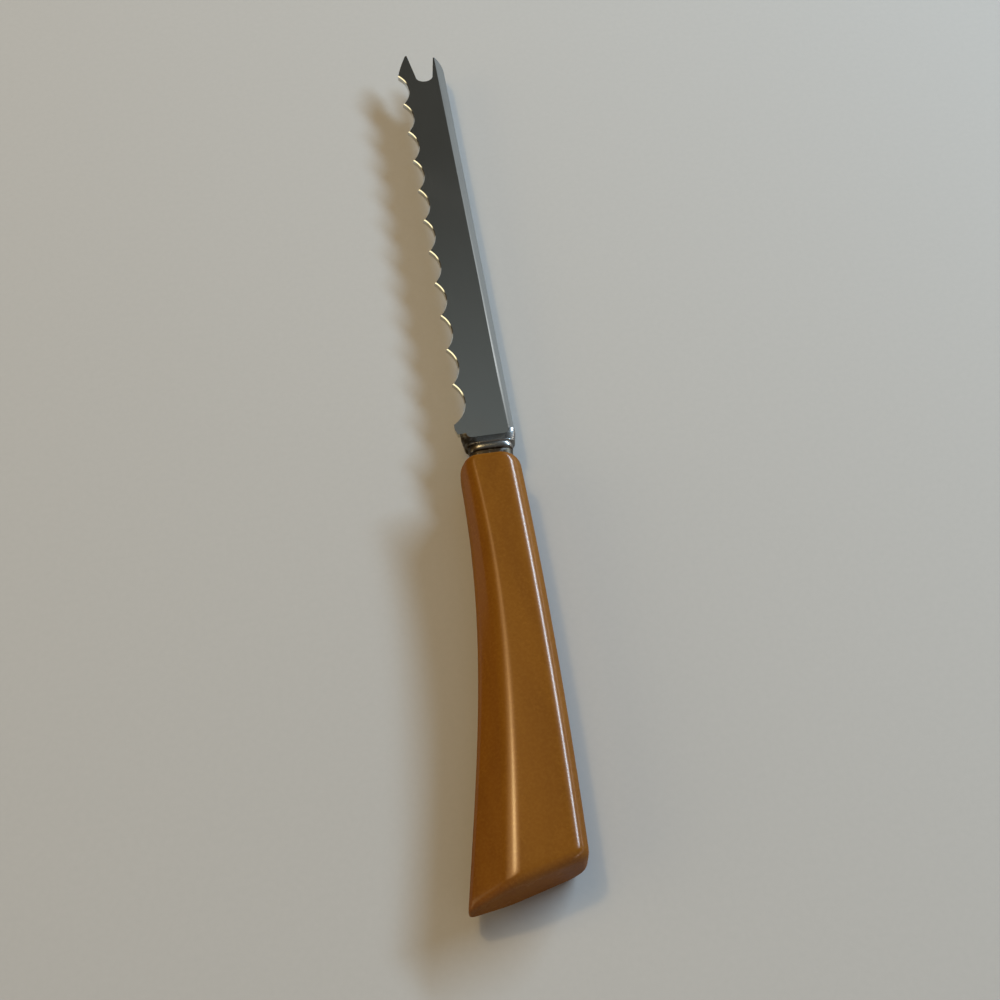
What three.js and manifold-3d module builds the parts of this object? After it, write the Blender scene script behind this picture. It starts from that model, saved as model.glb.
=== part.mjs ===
// Cheese knife: a scalloped steel blade with a two-prong tip, a stepped steel bolster and a cast resin
// handle that the tang is cemented into. Millimetres, +Z up. The knife lies on one broad face of its
// handle: +Y runs to the tip, +X to the spine, and the origin is on the face it rests on.
import * as THREE from 'three';
import { mergeVertices } from 'three/addons/utils/BufferGeometryUtils.js';
import { ConvexGeometry } from 'three/addons/geometries/ConvexGeometry.js';
import Module from 'manifold-3d';

const wasm = await Module();
wasm.setup();

// Blade
const BLADE_LENGTH = 114.9;
const BLADE_WIDTH = 11.5;
const BLADE_THICKNESS = 1.3;
const TOOTH_COUNT = 11;
const TOOTH_DEPTH = 1.95;
const TIP_LENGTH = 6.9;
const HEEL_LAND = 3.7;
const HEEL_DROP = 1.05;
const HEEL_CHAMFER_LENGTH = 1.4;
const HEEL_CHAMFER_DEPTH = 0.45;
const TONGUE_LENGTH = 1.3;
const TONGUE_HALF_WIDTH = 4.5;
const TONGUE_ROUND = 1.0;
const EDGE_LAND = 0.25;
const EDGE_BEVEL_WIDTH = 0.75;
const SPINE_BEVEL_HEEL = 0.85;
const SPINE_BEVEL_TIP = 1.7;
const SPINE_BEVEL_DEPTH = 0.35;
const SPINE_BEVEL_FLARE_LENGTH = 75;

// Forked tip
const LONG_PRONG_INSET = 3.0;
const SHORT_PRONG_INSET = 2.05;
const PRONG_STEP = 1.6;
const PRONG_POINT_WIDTH = 0.4;
const PRONG_BULGE = 0.55;
const SHORT_PRONG_LENGTH = 2.6;
const SHORT_SHOULDER_LENGTH = 3.0;
const NOTCH_DEPTH = 9.6;
const NOTCH_HALF_WIDTH = 2.1;
const NOTCH_ROUND = 1.75;
const NOTCH_SHIFT = 0.2;

// Tang
const TANG_LENGTH = 46;
const TANG_WIDTH = 4.2;
const TANG_POINT_LENGTH = 3;
const TANG_POINT_WIDTH = 2.4;
const TANG_NOTCH_RADIUS = 0.7;
const TANG_NOTCH_PAIRS = 3;
const TANG_NOTCH_SPACING = 11;

// Bolster, as half widths and half thicknesses of its steps
const SEAT_LENGTH = 0.9;
const SEAT_HALF_WIDTH = 4.6;
const SEAT_HALF_THICKNESS = 3.0;
const GROOVE_LENGTH = 1.8;
const GROOVE_HALF_WIDTH = 4.5;
const GROOVE_HALF_THICKNESS = 2.1;
const RING_LENGTH = 1.8;
const RING_HALF_WIDTH = 4.75;
const RING_HALF_THICKNESS = 2.65;
const FLARE_LENGTH = 2.6;
const CREST_HALF_WIDTH = 5.35;
const CREST_HALF_THICKNESS = 2.7;
const FRONT_HALF_WIDTH = 5.85;
const FRONT_WALL = 0.3;
const BOLSTER_EDGE = 0.3;
const BOLSTER_SQUARENESS = 3.2;

// Handle
const HANDLE_LENGTH = 92.6;
const HANDLE_SPINE_LENGTH = 86.8;
const HANDLE_THICKNESS = 13;
const HANDLE_FRONT_SPINE = 5.35;
const HANDLE_FRONT_BELLY = 7.4;
const HANDLE_BUTT_SPINE = 3.85;
const SPINE_BOW = 1.4;
const HANDLE_BUTT_BELLY = 19.2;
const BELLY_FRONT_REACH = 35;
const BELLY_FRONT_TUCK = 0.65;
const BELLY_BUTT_REACH = 30.6;
const BELLY_BUTT_FLARE = 6.45;
const BELLY_EDGE_THICKNESS = 5;
const FACET_FRONT_WIDTH = 1.25;
const FACET_BUTT_WIDTH = 7.8;
const SPINE_EDGE_INSET = 4.6;
const SPINE_EDGE_DROP = 4.2;
const SPINE_EDGE_LEAD = 8;
const FRONT_EDGE_ROUND = 1.0;
const FRONT_BELLY_ROUND = 2.0;
const FRONT_SPINE_ROUND = 3.2;
const BUTT_SPINE_ROUND = 1.5;
const BUTT_BELLY_ROUND = 0.9;
const BORE_RADIUS = 3.3;
const BORE_SHIFT = 0.4;
const BORE_BOTTOM_ROOM = 4;

// Fits
const SLOT_CLEARANCE = 0.2;
const SEAT_GAP = 0.25;
const CEMENT_GAP = 0.25;

// Place of the knife in its own frame
const REST_SETBACK = 30;

// Fineness of the rounded shapes
const SCALLOP_SIDES = 96;
const ROUND_SIDES = 40;
const ARC_STEPS = 8;
const SIDE_STEPS = 24;
const EDGE_STEPS = 4;
const CUT_OVERRUN = 12;
const MERGE_DISTANCE = 1e-4;

const HANDLE_FRONT_Y = REST_SETBACK;
const BOLSTER_BACK_Y = HANDLE_FRONT_Y + SEAT_GAP;
const BOLSTER_LENGTH = SEAT_LENGTH + GROOVE_LENGTH + RING_LENGTH + FLARE_LENGTH + TONGUE_LENGTH;
const BOLSTER_FRONT_Y = BOLSTER_BACK_Y + BOLSTER_LENGTH;
const BLADE_HEEL_Y = BOLSTER_FRONT_Y + SEAT_GAP;
const TONGUE_END_Y = BLADE_HEEL_Y - TONGUE_LENGTH;
const BLADE_TIP_Y = BLADE_HEEL_Y + BLADE_LENGTH;
const MID_Z = HANDLE_THICKNESS / 2;
const BLADE_TOP_Z = MID_Z + BLADE_THICKNESS / 2;
const BLADE_BOTTOM_Z = MID_Z - BLADE_THICKNESS / 2;
const SPINE_X = BLADE_WIDTH / 2;
const EDGE_X = -BLADE_WIDTH / 2;

// A closed geometry as a solid, with coincident corners joined and its faces turned outwards
function solid(geometry) {
  const bare = geometry.clone();
  bare.deleteAttribute('normal');
  bare.deleteAttribute('uv');
  const merged = mergeVertices(bare, MERGE_DISTANCE);
  const position = merged.getAttribute('position');
  const corners = [0, 1, 2].map(() => new THREE.Vector3());
  const triangles = [];
  let volume = 0;
  for (let i = 0; i < merged.index.count; i += 3) {
    const [a, b, c] = [0, 1, 2].map((k) => merged.index.getX(i + k));
    if (a === b || b === c || c === a) continue;
    triangles.push([a, b, c]);
    [a, b, c].forEach((index, k) => corners[k].fromBufferAttribute(position, index));
    volume += corners[0].dot(corners[1].clone().cross(corners[2]));
  }
  const facing = volume < 0 ? triangles.map(([a, b, c]) => [a, c, b]) : triangles;
  const mesh = new wasm.Mesh({
    numProp: 3,
    vertProperties: new Float32Array(position.array),
    triVerts: new Uint32Array(facing.flat()),
  });
  mesh.merge();
  return new wasm.Manifold(mesh);
}

function part(name, body, look) {
  const result = body.getMesh();
  const geometry = new THREE.BufferGeometry();
  geometry.setAttribute('position', new THREE.BufferAttribute(new Float32Array(result.vertProperties), 3));
  geometry.setIndex(new THREE.BufferAttribute(new Uint32Array(result.triVerts), 1));
  geometry.computeVertexNormals();
  const mesh = new THREE.Mesh(geometry, new THREE.MeshStandardMaterial(look));
  mesh.name = name;
  return mesh;
}

function plate(points, bottom, top) {
  const settings = { depth: top - bottom, bevelEnabled: false };
  return new THREE.ExtrudeGeometry(new THREE.Shape(points), settings).translate(0, 0, bottom);
}

function block(left, right, back, front, bottom, top) {
  const box = new THREE.BoxGeometry(right - left, front - back, top - bottom);
  return box.translate((left + right) / 2, (back + front) / 2, (bottom + top) / 2);
}

function at(x, y) {
  return new THREE.Vector2(x, y);
}

// Points of the arc that rounds a corner between two straight runs
function rounded(before, corner, after, radius) {
  const back = before.clone().sub(corner).normalize();
  const ahead = after.clone().sub(corner).normalize();
  const half = Math.acos(back.dot(ahead)) / 2;
  const centre = back.clone().add(ahead).normalize().multiplyScalar(radius / Math.sin(half)).add(corner);
  const reach = radius / Math.tan(half);
  const from = back.multiplyScalar(reach).add(corner).sub(centre);
  const to = ahead.multiplyScalar(reach).add(corner).sub(centre);
  const sweep = Math.atan2(from.x * to.y - from.y * to.x, from.dot(to));
  return Array.from({ length: ARC_STEPS + 1 }, (unused, i) =>
    from.clone().rotateAround(new THREE.Vector2(), (sweep * i) / ARC_STEPS).add(centre));
}

// Outline of the steel stamping before its teeth are ground: heel, spine, fork and tang
function blankOutline(toothStart, lastScallopMiddle) {
  const longTip = EDGE_X + LONG_PRONG_INSET;
  const shortTip = SPINE_X - SHORT_PRONG_INSET;
  const shortTipY = BLADE_TIP_Y - PRONG_STEP;
  const notchX = (longTip + shortTip) / 2 + NOTCH_SHIFT;
  const notchY = BLADE_TIP_Y - NOTCH_DEPTH + NOTCH_ROUND;
  const shoulderY = shortTipY - SHORT_PRONG_LENGTH;
  const notch = new THREE.EllipseCurve(notchX, notchY, NOTCH_HALF_WIDTH, NOTCH_ROUND, 0, Math.PI, true);
  const shoulder = new THREE.QuadraticBezierCurve(
    at(SPINE_X, shoulderY - SHORT_SHOULDER_LENGTH),
    at(SPINE_X, shoulderY),
    at(shortTip + PRONG_POINT_WIDTH, shortTipY),
  );
  const longSide = new THREE.QuadraticBezierCurve(
    at(longTip - PRONG_POINT_WIDTH, BLADE_TIP_Y),
    at((EDGE_X + longTip) / 2 - PRONG_BULGE, (BLADE_TIP_Y + toothStart) / 2),
    at(EDGE_X, toothStart),
  );
  const heelX = EDGE_X - HEEL_DROP;
  return [
    ...tangOutline(0),
    ...tongueSide(1, 0),
    at(SPINE_X, BLADE_HEEL_Y),
    ...shoulder.getPoints(ARC_STEPS),
    at(shortTip, shortTipY),
    ...notch.getPoints(2 * ARC_STEPS),
    at(longTip, BLADE_TIP_Y),
    ...longSide.getPoints(ARC_STEPS),
    at(EDGE_X, lastScallopMiddle),
    at(heelX, lastScallopMiddle),
    at(heelX, BLADE_HEEL_Y + HEEL_CHAMFER_LENGTH),
    at(heelX + HEEL_CHAMFER_DEPTH, BLADE_HEEL_Y),
    ...tongueSide(-1, 0).reverse(),
  ];
}

// One side of the short tongue that runs back from the heel into the bolster, grown by a clearance
function tongueSide(side, clearance) {
  const edge = side * (TONGUE_HALF_WIDTH + clearance);
  const end = TONGUE_END_Y - clearance;
  const heel = at(edge, BLADE_HEEL_Y);
  return [...rounded(at(0, end), at(edge, end), heel, TONGUE_ROUND + clearance), heel];
}

// The tang from one side of the tongue round to the other, grown by a clearance
function tangOutline(clearance) {
  const side = TANG_WIDTH / 2 + clearance;
  const point = TANG_POINT_WIDTH / 2 + clearance;
  const end = HANDLE_FRONT_Y - TANG_LENGTH - clearance;
  return [
    at(-side, TONGUE_END_Y),
    at(-side, end + TANG_POINT_LENGTH),
    at(-point, end),
    at(point, end),
    at(side, end + TANG_POINT_LENGTH),
    at(side, TONGUE_END_Y),
  ];
}

// One scallop with its ground bevel, as the wheel that cuts it
function scallopCutter(pitch, middleY) {
  const radius = (pitch * pitch / 4 + TOOTH_DEPTH * TOOTH_DEPTH) / (2 * TOOTH_DEPTH);
  const wide = radius + EDGE_BEVEL_WIDTH;
  const rise = BLADE_THICKNESS - EDGE_LAND;
  const past = EDGE_LAND;
  const profile = [
    at(0, -past),
    at(radius, -past),
    at(radius, EDGE_LAND),
    at(wide + past * EDGE_BEVEL_WIDTH / rise, BLADE_THICKNESS + past),
    at(0, BLADE_THICKNESS + past),
  ];
  const wheel = new THREE.LatheGeometry(profile, SCALLOP_SIDES).rotateX(Math.PI / 2);
  return solid(wheel.translate(EDGE_X + TOOTH_DEPTH - radius, middleY, BLADE_BOTTOM_Z));
}

// The sloping band along the spine on one face, wider over the last stretch to the tip
function spineBevels(face) {
  const past = SPINE_BEVEL_DEPTH;
  const faceZ = MID_Z + face * BLADE_THICKNESS / 2;
  const wedge = (backY, backWidth, frontY, frontWidth) => {
    const ends = [[backY, backWidth], [frontY, frontWidth]];
    return solid(new ConvexGeometry(ends.flatMap(([y, width]) => {
      const slope = SPINE_BEVEL_DEPTH / width;
      return [
        new THREE.Vector3(SPINE_X + past, y, faceZ - face * slope * (width + past)),
        new THREE.Vector3(SPINE_X - width - past, y, faceZ + face * slope * past),
        new THREE.Vector3(SPINE_X + past, y, faceZ + face * slope * past),
      ];
    })));
  };
  const flareY = BLADE_TIP_Y - SPINE_BEVEL_FLARE_LENGTH;
  const plain = wedge(BLADE_HEEL_Y - CUT_OVERRUN, SPINE_BEVEL_HEEL, BLADE_TIP_Y, SPINE_BEVEL_HEEL);
  return plain.add(wedge(flareY, SPINE_BEVEL_HEEL, BLADE_TIP_Y, SPINE_BEVEL_TIP));
}

function makeBlade() {
  const toothStart = BLADE_TIP_Y - TIP_LENGTH;
  const pitch = (BLADE_LENGTH - TIP_LENGTH - HEEL_LAND) / TOOTH_COUNT;
  const middleOf = (tooth) => toothStart - (tooth + 0.5) * pitch;
  const outline = blankOutline(toothStart, middleOf(TOOTH_COUNT - 1));
  let body = solid(plate(outline, BLADE_BOTTOM_Z, BLADE_TOP_Z));
  for (let tooth = 0; tooth < TOOTH_COUNT; tooth += 1) {
    body = body.subtract(scallopCutter(pitch, middleOf(tooth)));
  }
  for (const face of [1, -1]) {
    body = body.subtract(spineBevels(face));
  }
  for (let pair = 0; pair < TANG_NOTCH_PAIRS; pair += 1) {
    const y = HANDLE_FRONT_Y - TANG_LENGTH + (pair + 0.5) * TANG_NOTCH_SPACING;
    for (const side of [-1, 1]) {
      const tall = BLADE_THICKNESS + 2 * SLOT_CLEARANCE;
      const bite = new THREE.CylinderGeometry(TANG_NOTCH_RADIUS, TANG_NOTCH_RADIUS, tall, 2 * ARC_STEPS);
      body = body.subtract(solid(bite.rotateX(Math.PI / 2).translate(side * TANG_WIDTH / 2, y, MID_Z)));
    }
  }
  return part('blade', body, { color: 0x8d908c, metalness: 1, roughness: 0.25 });
}

// Steps of the bolster from the handle to the blade: how far forward, half width, half thickness
function bolsterSteps() {
  const grooveFront = SEAT_LENGTH + GROOVE_LENGTH;
  const crest = grooveFront + RING_LENGTH;
  const seat = [SEAT_HALF_WIDTH, SEAT_HALF_THICKNESS];
  const groove = [GROOVE_HALF_WIDTH, GROOVE_HALF_THICKNESS];
  const ring = [RING_HALF_WIDTH, RING_HALF_THICKNESS];
  const front = [FRONT_HALF_WIDTH, BLADE_THICKNESS / 2 + SLOT_CLEARANCE + FRONT_WALL];
  return [
    [0, ...seat],
    [SEAT_LENGTH, ...seat],
    [SEAT_LENGTH + BOLSTER_EDGE, ...groove],
    [grooveFront, ...groove],
    [grooveFront + BOLSTER_EDGE, ...ring],
    [crest - BOLSTER_EDGE, ...ring],
    [crest, CREST_HALF_WIDTH, CREST_HALF_THICKNESS],
    [crest + FLARE_LENGTH, ...front],
    [BOLSTER_LENGTH, ...front],
  ];
}

function makeBolster() {
  const steps = bolsterSteps();
  const lobe = (value) => Math.sign(value) * Math.abs(value) ** (2 / BOLSTER_SQUARENESS);
  const section = Array.from({ length: ROUND_SIDES }, (unused, i) => {
    const turn = (2 * Math.PI * i) / ROUND_SIDES;
    return at(lobe(Math.cos(turn)), lobe(Math.sin(turn)));
  });
  const settings = { depth: steps.length - 1, steps: steps.length - 1, bevelEnabled: false };
  const stack = new THREE.ExtrudeGeometry(new THREE.Shape(section), settings);
  const position = stack.getAttribute('position');
  for (let i = 0; i < position.count; i += 1) {
    const [forward, halfWidth, halfThickness] = steps[Math.round(position.getZ(i))];
    const x = position.getX(i) * halfWidth;
    const z = position.getY(i) * halfThickness;
    position.setXYZ(i, x, BOLSTER_BACK_Y + forward, MID_Z + z);
  }
  const slotHalf = TANG_WIDTH / 2 + SLOT_CLEARANCE;
  const slot = block(-slotHalf, slotHalf, BOLSTER_BACK_Y - CUT_OVERRUN, BOLSTER_FRONT_Y + CUT_OVERRUN,
    BLADE_BOTTOM_Z - SLOT_CLEARANCE, BLADE_TOP_Z + SLOT_CLEARANCE);
  const tongueRoom = [
    ...tongueSide(1, SEAT_GAP),
    ...tongueSide(-1, SEAT_GAP).reverse(),
  ];
  const pocket = plate(tongueRoom, -CUT_OVERRUN, HANDLE_THICKNESS + CUT_OVERRUN);
  const body = solid(stack).subtract(solid(slot)).subtract(solid(pocket));
  return part('bolster', body, { color: 0x6f6a64, metalness: 1, roughness: 0.2 });
}

// Corners and curves of the handle seen from above
function handlePlan() {
  const y = (back) => HANDLE_FRONT_Y - back;
  const bellyButt = at(-HANDLE_BUTT_BELLY, y(HANDLE_LENGTH));
  const bellyTurn = at(BELLY_BUTT_FLARE - HANDLE_BUTT_BELLY, y(HANDLE_LENGTH - BELLY_BUTT_REACH));
  const bellyFront = at(-HANDLE_FRONT_BELLY, y(0));
  const bellyLead = at(BELLY_FRONT_TUCK - HANDLE_FRONT_BELLY, y(BELLY_FRONT_REACH));
  const spineFront = at(HANDLE_FRONT_SPINE, y(0));
  const spineButt = at(HANDLE_BUTT_SPINE, y(HANDLE_SPINE_LENGTH));
  const spineBow = spineFront.clone().lerp(spineButt, 0.5).add(at(SPINE_BOW, 0));
  const beyond = (from, to) => to.clone().sub(from).setLength(CUT_OVERRUN).add(to);
  return {
    bellyButt,
    bellyTurn,
    bellyFront,
    spineFront,
    spineBow,
    spineButt,
    bellyEnd: beyond(bellyTurn, bellyButt),
    spineEnd: beyond(spineBow, spineButt),
    belly: new THREE.CubicBezierCurve(bellyFront, bellyLead, bellyTurn, bellyButt),
    spine: new THREE.QuadraticBezierCurve(spineFront, spineBow, spineButt),
  };
}

// Outline points, each with how far its edge is drawn in, how deep that goes and whether it is round
function handleRim(plan) {
  const front = { inset: FRONT_EDGE_ROUND, drop: FRONT_EDGE_ROUND, round: 1 };
  const spine = { inset: SPINE_EDGE_INSET, drop: SPINE_EDGE_DROP, round: 1 };
  const facet = (y) => {
    const share = (HANDLE_FRONT_Y - y) / HANDLE_LENGTH;
    const inset = FACET_FRONT_WIDTH + (FACET_BUTT_WIDTH - FACET_FRONT_WIDTH) * share;
    return { inset, drop: (HANDLE_THICKNESS - BELLY_EDGE_THICKNESS) / 2, round: 0 };
  };
  const mixed = (from, to, share) => Object.fromEntries(
    Object.keys(from).map((key) => [key, from[key] + (to[key] - from[key]) * share]));
  const spineEdge = (y) => mixed(front, spine, Math.min(1, (HANDLE_FRONT_Y - y) / SPINE_EDGE_LEAD));
  const bellyPoints = plan.belly.getPoints(SIDE_STEPS);
  const bellyCorner = rounded(bellyPoints[1], plan.bellyFront, plan.spineFront, FRONT_BELLY_ROUND);
  const spineCorner = rounded(plan.bellyFront, plan.spineFront, plan.spineBow, FRONT_SPINE_ROUND);
  const bellyRun = [...bellyPoints.filter((p) => p.y < bellyCorner[0].y), plan.bellyEnd].reverse();
  const spineRun = plan.spine.getPoints(SIDE_STEPS).filter((p) => p.y < spineCorner[ARC_STEPS].y);
  const cornerFacet = facet(bellyCorner[0].y);
  return [
    ...bellyRun.map((p) => ({ p, edge: facet(p.y) })),
    ...bellyCorner.map((p, i) => ({ p, edge: mixed(cornerFacet, front, i / ARC_STEPS) })),
    ...[...spineCorner, ...spineRun].map((p) => ({ p, edge: spineEdge(p.y) })),
    { p: plan.spineEnd, edge: spine },
  ];
}

// The outline stacked up through the thickness, with every level drawn in by its own edge
function handleStack(plan) {
  const rim = handleRim(plan);
  const inward = rim.map(({ p }, i) => {
    const ahead = rim[(i + 1) % rim.length].p.clone().sub(p).normalize();
    const behind = p.clone().sub(rim[(i + rim.length - 1) % rim.length].p).normalize();
    const along = ahead.add(behind).normalize();
    return at(along.y, -along.x);
  });
  const rings = 2 * EDGE_STEPS + 1;
  const shape = new THREE.Shape(rim.map(({ p }) => p));
  const stack = new THREE.ExtrudeGeometry(shape, { depth: rings, steps: rings, bevelEnabled: false });
  const keyOf = (x, y) => `${Math.fround(x)} ${Math.fround(y)}`;
  const indexOf = new Map(rim.map(({ p }, i) => [keyOf(p.x, p.y), i]));
  const position = stack.getAttribute('position');
  for (let k = 0; k < position.count; k += 1) {
    const i = indexOf.get(keyOf(position.getX(k), position.getY(k)));
    const { p, edge } = rim[i];
    const ring = Math.round(position.getZ(k));
    const level = ring <= EDGE_STEPS ? EDGE_STEPS - ring : ring - EDGE_STEPS - 1;
    const share = level / EDGE_STEPS;
    const quarter = (share * Math.PI) / 2;
    const draw = edge.inset * (edge.round * (1 - Math.cos(quarter)) + (1 - edge.round) * share);
    const below = edge.drop * (edge.round * (1 - Math.sin(quarter)) + (1 - edge.round) * (1 - share));
    const side = ring <= EDGE_STEPS ? -1 : 1;
    const place = inward[i].clone().multiplyScalar(draw).add(p);
    position.setXYZ(k, place.x, place.y, MID_Z + side * (HANDLE_THICKNESS / 2 - below));
  }
  return solid(stack);
}

// A tall prism that keeps everything in front of the slanting butt, with its two corners rounded
function buttTrim(plan) {
  const spineCorner = rounded(plan.spineBow, plan.spineButt, plan.bellyButt, BUTT_SPINE_ROUND);
  const bellyCorner = rounded(plan.spineButt, plan.bellyButt, plan.bellyTurn, BUTT_BELLY_ROUND);
  const spineStart = spineCorner[0];
  const bellyStart = bellyCorner[ARC_STEPS];
  const farX = HANDLE_BUTT_BELLY + CUT_OVERRUN;
  const farY = HANDLE_FRONT_Y + CUT_OVERRUN;
  const outline = [
    at(-farX, farY),
    at(farX, farY),
    at(farX, spineStart.y),
    ...spineCorner,
    ...bellyCorner,
    at(-farX, bellyStart.y),
  ];
  return solid(plate(outline, -CUT_OVERRUN, HANDLE_THICKNESS + CUT_OVERRUN));
}

function rod(radius, back, front) {
  const cylinder = new THREE.CylinderGeometry(radius, radius, front - back, ROUND_SIDES);
  return solid(cylinder.translate(-BORE_SHIFT, (back + front) / 2, MID_Z));
}

const BORE_END_Y = HANDLE_FRONT_Y - TANG_LENGTH - BORE_BOTTOM_ROOM;

function makeHandle() {
  const plan = handlePlan();
  const bore = rod(BORE_RADIUS, BORE_END_Y, HANDLE_FRONT_Y + CUT_OVERRUN);
  const body = handleStack(plan).intersect(buttTrim(plan)).subtract(bore);
  return part('handle', body, { color: 0xb06f1e, metalness: 0, roughness: 0.2 });
}

function makeCement() {
  const plug = rod(BORE_RADIUS - CEMENT_GAP, BORE_END_Y + CEMENT_GAP, HANDLE_FRONT_Y);
  const outline = tangOutline(SLOT_CLEARANCE);
  const slot = plate(outline, BLADE_BOTTOM_Z - SLOT_CLEARANCE, BLADE_TOP_Z + SLOT_CLEARANCE);
  return part('tang_cement', plug.subtract(solid(slot)), { color: 0x7a6a55, metalness: 0, roughness: 0.9 });
}

const knife = new THREE.Group();
knife.name = 'cheese_knife';
knife.add(makeBlade(), makeBolster(), makeHandle(), makeCement());

export default knife;
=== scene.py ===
import math

import bmesh
import bpy
from bpy.props import FloatProperty, FloatVectorProperty, IntProperty, PointerProperty
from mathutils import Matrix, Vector


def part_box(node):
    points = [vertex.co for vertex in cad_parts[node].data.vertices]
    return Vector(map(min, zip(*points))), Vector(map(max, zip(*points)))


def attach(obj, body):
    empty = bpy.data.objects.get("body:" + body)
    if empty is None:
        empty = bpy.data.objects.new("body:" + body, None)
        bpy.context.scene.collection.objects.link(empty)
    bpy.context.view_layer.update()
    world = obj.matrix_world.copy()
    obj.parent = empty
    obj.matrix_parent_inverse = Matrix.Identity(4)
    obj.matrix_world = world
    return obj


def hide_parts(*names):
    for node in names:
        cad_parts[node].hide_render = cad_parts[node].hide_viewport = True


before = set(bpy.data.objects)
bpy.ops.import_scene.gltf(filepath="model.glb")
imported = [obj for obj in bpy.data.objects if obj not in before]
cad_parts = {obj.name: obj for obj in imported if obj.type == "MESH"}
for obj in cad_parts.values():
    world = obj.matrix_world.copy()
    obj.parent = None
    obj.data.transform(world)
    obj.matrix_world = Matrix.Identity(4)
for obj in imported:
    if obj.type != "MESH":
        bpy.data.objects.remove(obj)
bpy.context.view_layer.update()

bl_info = {
    "name": "Cheese Knife",
    "version": (1, 0, 0),
    "blender": (4, 5, 0),
    "location": "View3D > Sidebar > Cheese Knife",
    "description": "Models the scalloped blade, ringed bolster and resin handle of a cheese knife",
    "category": "Object",
}

MM = 0.001
# Corners this close are one corner, and corners this near to a line or plane lie on it
DOUBLE = 0.001 * MM
NEAR = 0.01 * MM
# Bevel profile that makes a round edge
ROUND = 0.5

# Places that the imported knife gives, in metres
BLADE_LOW, BLADE_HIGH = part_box("blade")
BOLSTER_LOW, BOLSTER_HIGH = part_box("bolster")
HANDLE_LOW, HANDLE_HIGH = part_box("handle")
HANDLE_FRONT = HANDLE_HIGH.y
SEAT_GAP = BOLSTER_LOW.y - HANDLE_FRONT
HEEL = BOLSTER_HIGH.y + SEAT_GAP
TIP = BLADE_HIGH.y
SPINE = BLADE_HIGH.x
BLADE_TOP = BLADE_HIGH.z
BLADE_BOTTOM = BLADE_LOW.z
MID = (BLADE_TOP + BLADE_BOTTOM) / 2
BLADE_THICKNESS = BLADE_TOP - BLADE_BOTTOM
TANG_END = BLADE_LOW.y
HANDLE_THICKNESS = HANDLE_HIGH.z - HANDLE_LOW.z


def size(name, description, millimetres):
    """A length that the user can change."""
    return FloatProperty(name=name, description=description, default=millimetres * MM,
                         subtype="DISTANCE", unit="LENGTH")


def share(name, description, value):
    """A part of the whole, from 0 to 1, that the user can change."""
    return FloatProperty(name=name, description=description, default=value, min=0, max=1,
                         subtype="FACTOR")


def angle(name, description, degrees):
    """An angle that the user can change."""
    return FloatProperty(name=name, description=description, default=math.radians(degrees),
                         subtype="ANGLE", unit="ROTATION")


def watts(name, description, value):
    """The power of a lamp that the user can change."""
    return FloatProperty(name=name, description=description, default=value,
                         subtype="POWER", unit="POWER")


def count(name, description, value):
    """A whole number that the user can change."""
    return IntProperty(name=name, description=description, default=value, min=1)


def colour(name, description, rgb):
    """A colour that the user can change."""
    return FloatVectorProperty(name=name, description=description, default=rgb, size=3,
                               subtype="COLOR", min=0, max=1)


class BladeSizes(bpy.types.PropertyGroup):
    width: size("Width", "From the spine to the line of the tooth points", 11.5)
    teeth: count("Scallops", "How many scallops the edge has", 11)
    tooth_depth: size("Scallop depth", "How deep a scallop cuts into the edge", 1.95)
    edge_land: size("Edge land", "Height of the upright edge below the grind", 0.25)
    grind_width: size("Grind width", "Width of the steep grind above that edge", 0.1)
    grind_height: size("Grind height", "Height of the steep grind", 0.83)
    edge_bevel: size("Edge bevel", "Width of the bevel from the grind to the flat face", 0.22)
    tip_length: size("Tip length", "From the first tooth to the point", 6.9)
    heel_land: size("Heel land", "Plain edge between the last scallop and the bolster", 3.7)
    heel_drop: size("Heel drop", "How far the heel stands below the tooth points", 1.05)
    heel_chamfer_length: size("Heel chamfer length", "Cut corner at the heel, along the blade", 1.4)
    heel_chamfer_depth: size("Heel chamfer depth", "Cut corner at the heel, across the blade", 0.45)
    tongue_length: size("Tongue length", "From the heel back into the bolster", 1.3)
    tongue_half: size("Tongue half width", "Half the width of the tongue", 4.5)
    tongue_round: size("Tongue round", "Rounding of the tongue's corners", 1.25)
    spine_bevel_heel: size("Spine bevel at heel", "Width of the band along the spine", 0.85)
    spine_bevel_tip: size("Spine bevel at tip", "Width of the band where it ends", 1.7)
    spine_drop_heel: size("Spine drop at heel", "How far the band slopes down at the heel", 0.2)
    spine_drop_tip: size("Spine drop at tip", "How far the band slopes down at the tip", 0.35)
    spine_soft: size("Spine softness", "How far the band's arris is rounded into the flat", 0.7)
    spine_soft_tip: size("Spine softness at tip", "The same where the band ends", 0.1)
    flare_length: size("Flare length", "Stretch of the spine over which the band widens", 75)
    long_prong_inset: size("Long prong inset", "Long point from the line of the teeth", 3.0)
    short_prong_inset: size("Short prong inset", "Short point from the spine", 2.05)
    prong_step: size("Prong step", "How much shorter the second prong is", 1.6)
    prong_point: size("Prong point", "Width of the blunt points", 0.4)
    prong_bulge: size("Prong bulge", "How far the long prong's outer side swells", 0.55)
    short_prong: size("Short prong", "Slanting end of the short prong", 2.6)
    short_shoulder: size("Short shoulder", "Curve from the short prong to the spine", 3.0)
    notch_depth: size("Notch depth", "From the long point to the bottom of the notch", 9.6)
    notch_half: size("Notch half width", "Half the width of the notch", 2.1)
    notch_round: size("Notch round", "Height of the notch's rounded bottom", 1.75)
    notch_shift: size("Notch shift", "Notch from the middle of the two points", 0.2)
    tang_width: size("Tang width", "Width of the tang in the handle", 4.2)
    tang_point: size("Tang point", "Width of the tang's end", 2.4)
    tang_taper: size("Tang taper", "Length of the tang's tapered end", 3.0)
    arris: size("Arris", "Radius of the rounding along the top of the scallops", 0.1)


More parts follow.
